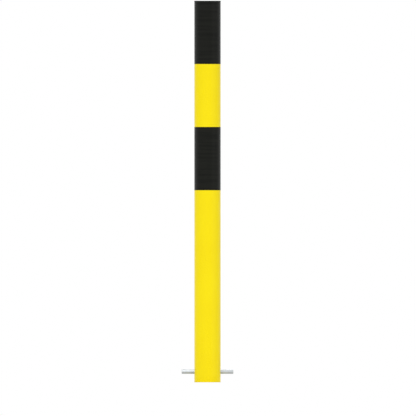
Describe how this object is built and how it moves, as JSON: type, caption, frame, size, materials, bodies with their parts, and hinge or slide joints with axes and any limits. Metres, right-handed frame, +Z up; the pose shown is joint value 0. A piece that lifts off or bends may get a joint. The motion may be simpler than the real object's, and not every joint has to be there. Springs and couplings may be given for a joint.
{
  "type": "in-ground bollard",
  "caption": "Round steel bollard to be set in concrete, yellow with black bands at its upper end, closed by a flat cap and kept from turning or pulling out by a bar through its foot.",
  "frame": {"origin": "on the post's axis, at ground level", "axes": "+Z up along the post, from the foot in the ground towards the cap; X along the anchor bar; +Y towards the back, where the seams of the tube and of the film bands lie"},
  "size_m": [0.1624, 0.083, 1.2],
  "materials": {
    "yellow_coated_steel": "satin",
    "zinc_plated_steel": "satin",
    "black_film": "satin",
    "black_moulded_plastic": "matte"
  },
  "bodies": {
    "root": {"post_tube": "yellow_coated_steel", "ground_anchor": "zinc_plated_steel", "upper_black_band": "black_film", "lower_black_band": "black_film", "end_cap": "black_moulded_plastic"}
  },
  "joints": []
}
